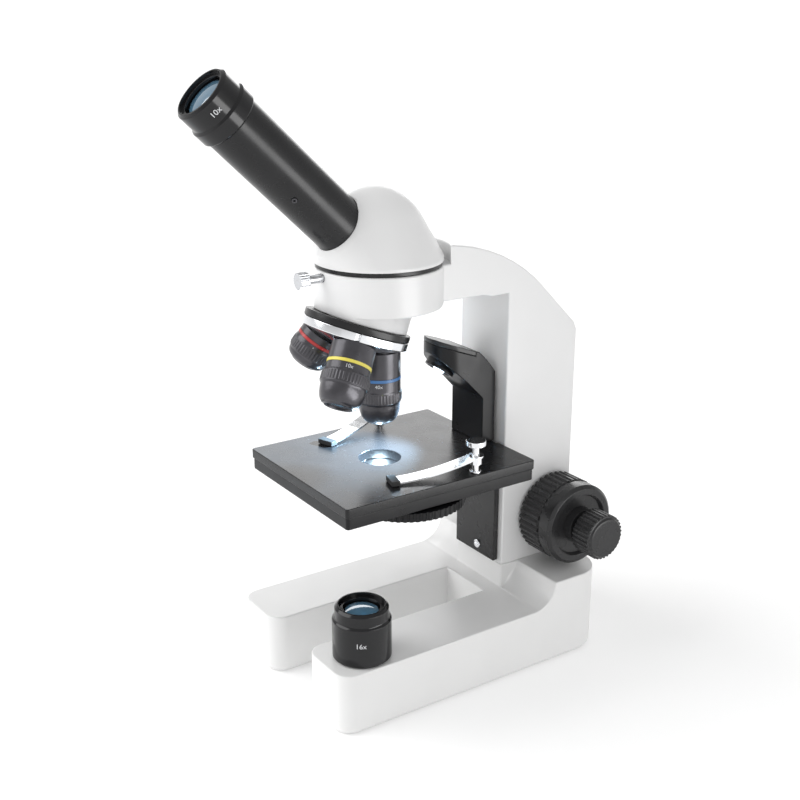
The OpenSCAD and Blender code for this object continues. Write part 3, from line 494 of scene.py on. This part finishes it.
def daylight(name, towards, size, strength):
    """Large soft light, far away in the given direction; size is its width in degrees."""
    light = bpy.data.lights.new(name, "SUN")
    light.angle = math.radians(size)
    light.energy = strength
    obj = bpy.data.objects.new(name, light)
    obj.rotation_euler = Vector(towards).to_track_quat("Z", "Y").to_euler()
    bpy.context.scene.collection.objects.link(obj)


# Size of the microscope's two lights, which sets how soft their shadows are
LAMP_RADIUS = 3 * MM


def stage_light(light, name, place):
    """Puts a light of the microscope itself at place, so that it travels with the stage."""
    obj = bpy.data.objects.new(name, light)
    obj.location = place
    bpy.context.scene.collection.objects.link(obj)
    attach(obj, "stage")
    return obj


def upper_lamp(place, target, power):
    """Cold light from the upper lamp that falls in a soft pool on the stage."""
    light = bpy.data.lights.new("upper lamp", "SPOT")
    light.energy = power
    light.color = (0.52, 0.78, 1.0)
    light.spot_size = math.radians(84)
    light.spot_blend = 1.0
    light.shadow_soft_size = LAMP_RADIUS
    place = place - Vector((0, 0, 6 * MM))
    obj = stage_light(light, "upper lamp", place)
    obj.rotation_euler = (target - place).to_track_quat("-Z", "Y").to_euler()


def lower_lamp(place, power):
    """Light that comes up through the hole in the stage."""
    light = bpy.data.lights.new("lower lamp", "POINT")
    light.energy = power
    light.color = (0.62, 0.84, 1.0)
    light.shadow_soft_size = LAMP_RADIUS
    stage_light(light, "lower lamp", place)


def studio_world(horizon, overhead):
    """A pale room, brighter near the horizon so that the floor has no visible far edge."""
    world = bpy.data.worlds.new("studio")
    world.use_nodes = True
    tree = world.node_tree
    background = tree.nodes["Background"]
    background.inputs["Color"].default_value = (1, 1, 1, 1)
    coords = tree.nodes.new("ShaderNodeTexCoord")
    split = tree.nodes.new("ShaderNodeSeparateXYZ")
    link(tree, coords, "Generated", split, "Vector")
    strength = span(tree, split.outputs["Z"], horizon, overhead, 0.08, 0.30)
    tree.links.new(strength, background.inputs["Strength"])
    bpy.context.scene.world = world


def place_camera(axis):
    """Camera to the front right of the object, above it, looking down at it."""
    azimuth = 0.98
    pitch = 0.33
    lens = 54.24
    place = axis + Vector((446.164, -287.647, 319.294)) * MM
    right = Vector((math.cos(azimuth), math.sin(azimuth), 0))
    forward = Vector((-math.sin(azimuth) * math.cos(pitch), math.cos(azimuth) * math.cos(pitch),
                      -math.sin(pitch)))
    up = right.cross(forward)
    camera = bpy.data.cameras.new("camera")
    camera.sensor_width = 36
    camera.lens = lens
    camera.clip_start = 0.01
    obj = bpy.data.objects.new("camera", camera)
    turn = Matrix((right, up, -forward)).transposed().to_4x4()
    obj.matrix_world = Matrix.Translation(place) @ turn
    bpy.context.scene.collection.objects.link(obj)
    bpy.context.scene.camera = obj


axis = floor_axis()
floor()
studio_world(horizon=1.0, overhead=0.58)
daylight("key", towards=(-0.45, -0.65, 0.62), size=50, strength=1.52)
daylight("fill", towards=(0.75, -0.45, 0.25), size=60, strength=0.07)
# Panels that only reflections show: the first gives the stage's top its sheen, the second lights the
# glossy edges of the eyepiece tube, the lamp post and the arm
softbox("backdrop", place=axis + Vector((-0.95, 0.64, 0.50)), target=axis + Vector((0, 0, 0.11)),
        lengthwise=(0, 0, 1), width=1.0, height=0.6, power=3.9)
softbox("strip", place=axis + Vector((0.37, 0.10, 0.15)), target=axis + Vector((0, -0.05, 0.25)),
        lengthwise=(0.1, -0.66, 0.74), width=0.16, height=0.45, power=1.15)
place_camera(axis)

stage_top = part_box("stage_plate")[1].z
frame_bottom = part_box("stage_frame")[0].z
pool = Vector((axis.x - 0.012, axis.y - 0.016, stage_top))
upper_lamp(middle("upper_lamp_lens"), target=pool, power=5.5)
lower_lamp(Vector((axis.x, axis.y, frame_bottom + 5 * MM)), power=0.12)

bpy.context.scene.view_settings.view_transform = "Standard"
bpy.context.view_layer.update()
